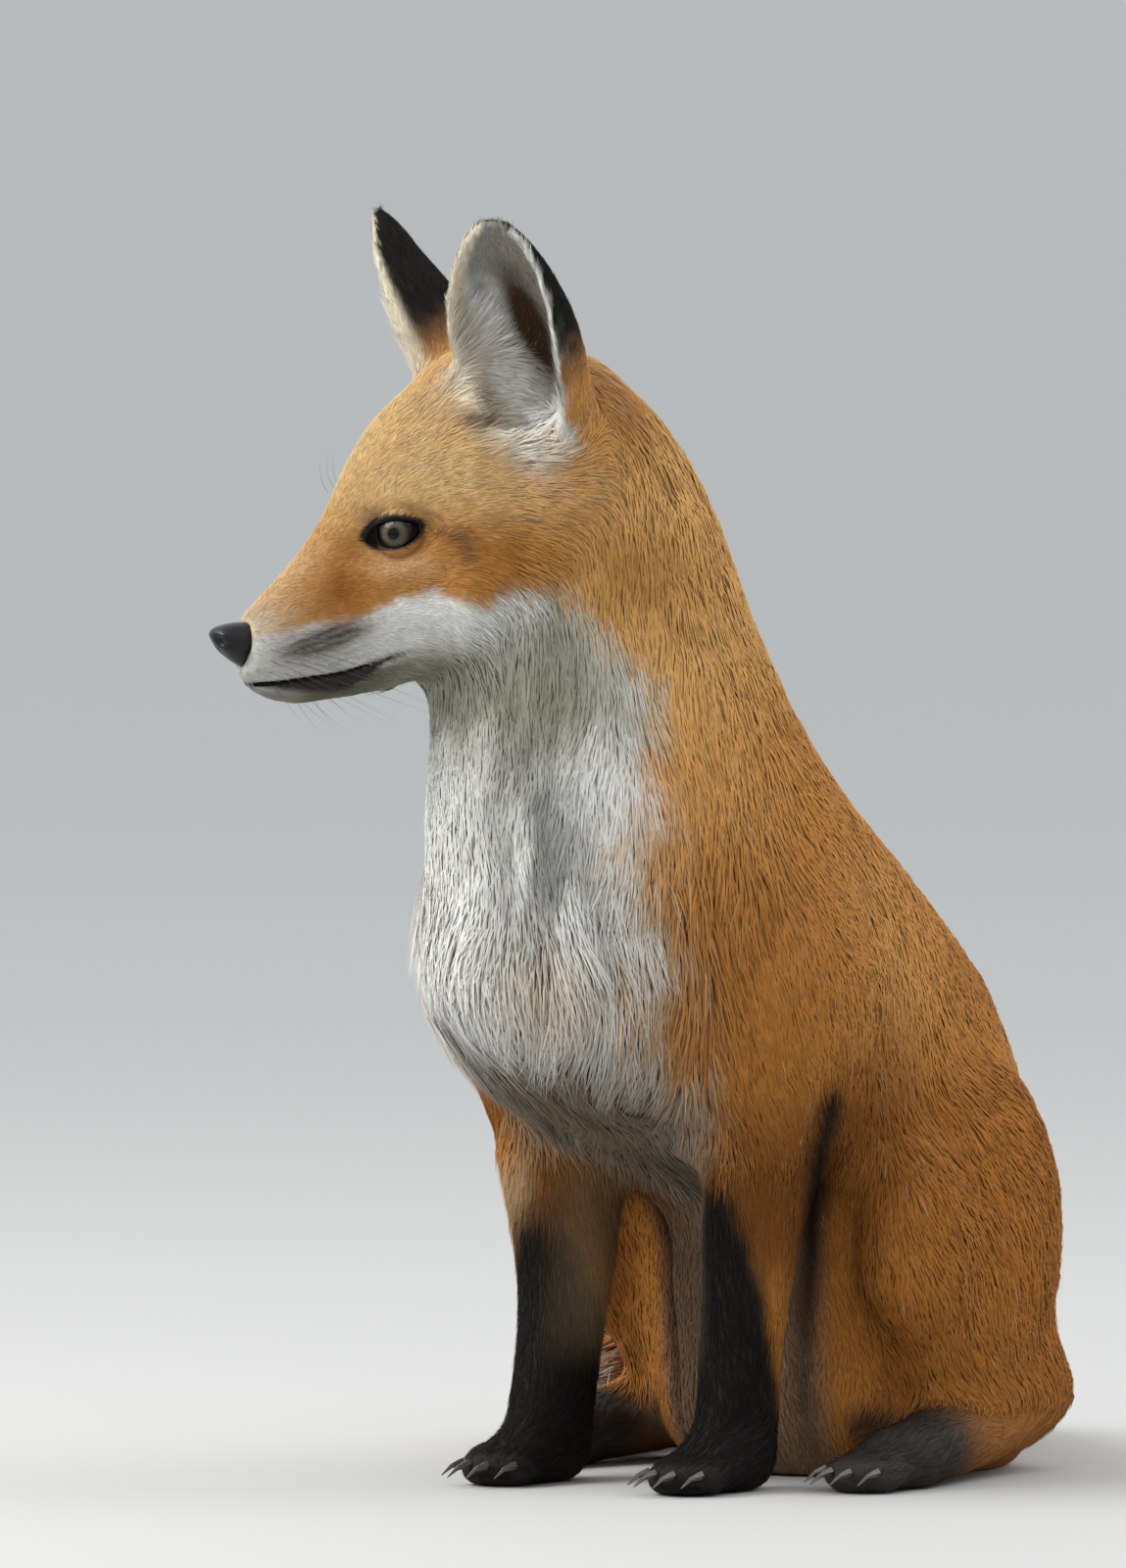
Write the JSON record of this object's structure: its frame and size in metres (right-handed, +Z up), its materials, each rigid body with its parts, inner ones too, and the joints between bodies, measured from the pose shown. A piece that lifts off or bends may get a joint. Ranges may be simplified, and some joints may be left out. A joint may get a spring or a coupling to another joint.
{
  "type": "sitting red fox model",
  "caption": "Life-size still model of a young red fox that sits upright, with its head turned to its right and its tail laid round its right side.",
  "frame": {"origin": "on the floor, in the flat under the rump", "axes": "+Z up, -Y the way the body faces, so +X is the fox's left side"},
  "size_m": [0.2662, 0.4259, 0.476],
  "materials": {
    "rust_coat": "matte",
    "gold_coat": "matte",
    "cream_coat": "matte",
    "black_stocking": "matte",
    "black_ear": "matte",
    "wet_black": "satin",
    "eye": "gloss",
    "horn": "satin"
  },
  "bodies": {
    "root": {"chest": "cream_coat", "claw_fore_left_1": "horn", "claw_fore_left_2": "horn", "claw_fore_left_3": "horn", "claw_fore_left_4": "horn", "claw_fore_right_1": "horn", "claw_fore_right_2": "horn", "claw_fore_right_3": "horn", "claw_fore_right_4": "horn", "claw_hind_left_1": "horn", "claw_hind_left_2": "horn", "claw_hind_left_3": "horn", "claw_hind_left_4": "horn", "claw_hind_right_1": "horn", "claw_hind_right_2": "horn", "claw_hind_right_3": "horn", "claw_hind_right_4": "horn", "ear_left": "black_ear", "ear_right": "black_ear", "eye_left": "eye", "eye_right": "eye", "forearm_left": "black_stocking", "forearm_right": "black_stocking", "forepaw_left": "black_stocking", "forepaw_right": "black_stocking", "head": "gold_coat", "hind_foot_left": "black_stocking", "hind_foot_right": "black_stocking", "lower_jaw": "cream_coat", "neck": "gold_coat", "nose": "wet_black", "rump": "rust_coat", "tail_base": "rust_coat", "tail_brush": "rust_coat", "tail_middle": "rust_coat", "thigh_left": "rust_coat", "thigh_right": "rust_coat", "upper_arm_left": "rust_coat", "upper_arm_right": "rust_coat"}
  },
  "joints": []
}
